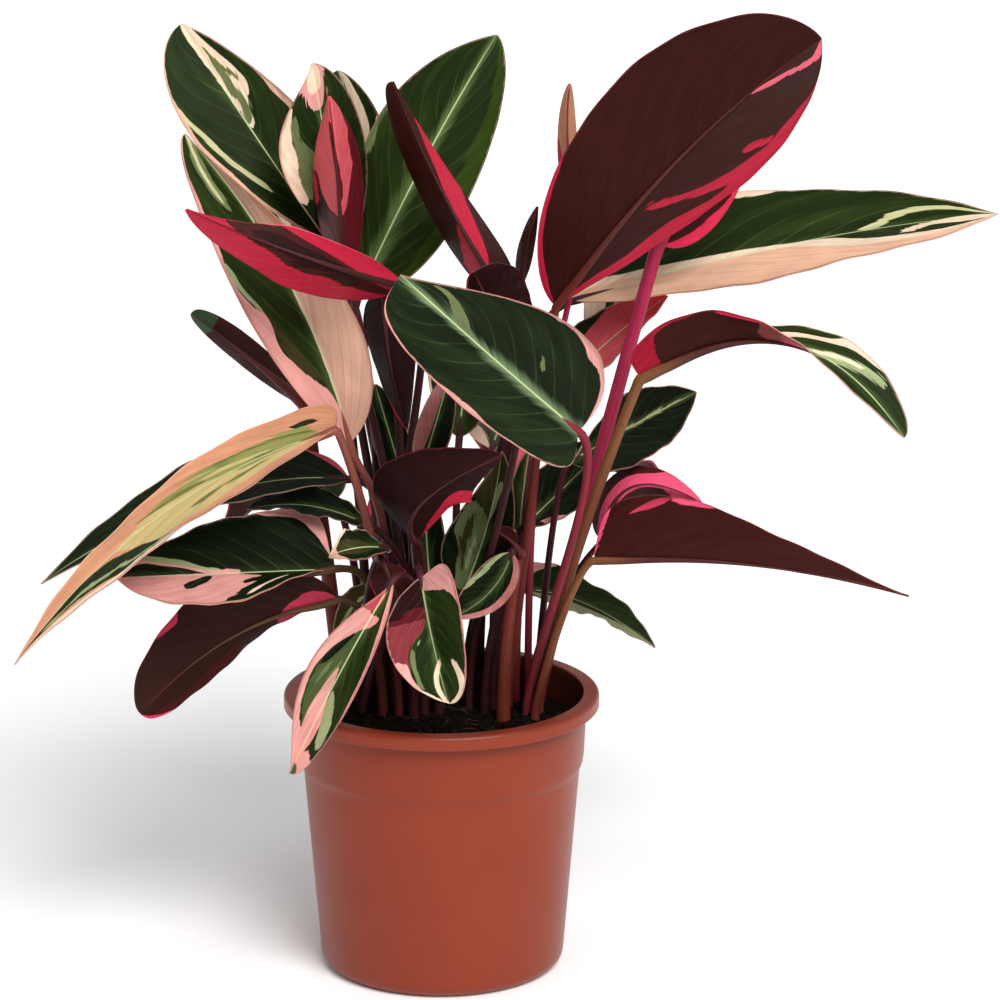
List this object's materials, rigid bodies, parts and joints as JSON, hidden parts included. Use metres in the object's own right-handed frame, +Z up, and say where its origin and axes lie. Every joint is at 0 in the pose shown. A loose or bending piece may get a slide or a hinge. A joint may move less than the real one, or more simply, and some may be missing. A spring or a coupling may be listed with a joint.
{
  "type": "potted stromanthe triostar",
  "caption": "Leafy houseplant with long oval leaves in green, cream, pink and maroon on slender stalks, growing from peat in a round tapered terracotta-coloured nursery pot.",
  "frame": {"origin": "centre of the pot's underside, where it stands on the floor", "axes": "+X to the right, -Y towards the viewer, +Z up"},
  "size_m": [0.573, 0.36, 0.5896],
  "materials": {
    "pot": "satin",
    "soil": "matte",
    "leaf_green": "satin",
    "leaf_cream": "satin",
    "leaf_pink": "satin",
    "leaf_maroon": "satin"
  },
  "bodies": {
    "root": {"pot": "pot", "soil": "soil", "leaf_crown_maroon": "leaf_maroon", "leaf_crown_rear": "leaf_maroon", "leaf_right_long": "leaf_green", "leaf_right_rose": "leaf_pink", "leaf_front_green": "leaf_green", "leaf_top_green": "leaf_green", "leaf_top_left": "leaf_green", "leaf_left_tall": "leaf_green", "leaf_left_pink": "leaf_pink", "leaf_upright_rolled": "leaf_pink", "leaf_spear_maroon": "leaf_maroon", "leaf_back_striped": "leaf_cream", "leaf_back_narrow": "leaf_green", "leaf_hanging_dark": "leaf_maroon", "leaf_inner_pink": "leaf_pink", "leaf_cup_dark": "leaf_maroon", "leaf_small_olive": "leaf_green", "leaf_low_maroon": "leaf_maroon", "leaf_curl_front": "leaf_green", "leaf_droop_front": "leaf_green", "leaf_left_cream": "leaf_cream", "leaf_left_dark": "leaf_green", "leaf_left_small": "leaf_green", "leaf_left_pink_edged": "leaf_green", "leaf_left_maroon": "leaf_maroon", "leaf_right_twisted": "leaf_maroon", "leaf_right_maroon": "leaf_maroon", "leaf_right_pink": "leaf_pink", "leaf_right_back": "leaf_green", "leaf_right_low": "leaf_green", "leaf_inner_green": "leaf_green", "leaf_inner_hanging": "leaf_green", "leaf_inner_right": "leaf_green", "leaf_tiny_funnel": "leaf_maroon", "leaf_left_curled": "leaf_maroon", "leaf_inner_back": "leaf_green", "leaf_inner_upright": "leaf_green", "leaf_new_peach": "leaf_cream", "leaf_new_purple": "leaf_maroon", "leaf_rear_centre_tall": "leaf_green", "leaf_rear_centre_droop": "leaf_green", "leaf_rear_right_droop": "leaf_green", "leaf_rear_right_tall": "leaf_green", "leaf_rear_left_droop": "leaf_green", "leaf_rear_left_tall": "leaf_green", "leaf_rear_low": "leaf_green", "leaf_hidden_tip": "leaf_maroon", "leaf_inner_dark": "leaf_green", "leaf_inner_left": "leaf_green"}
  },
  "joints": []
}
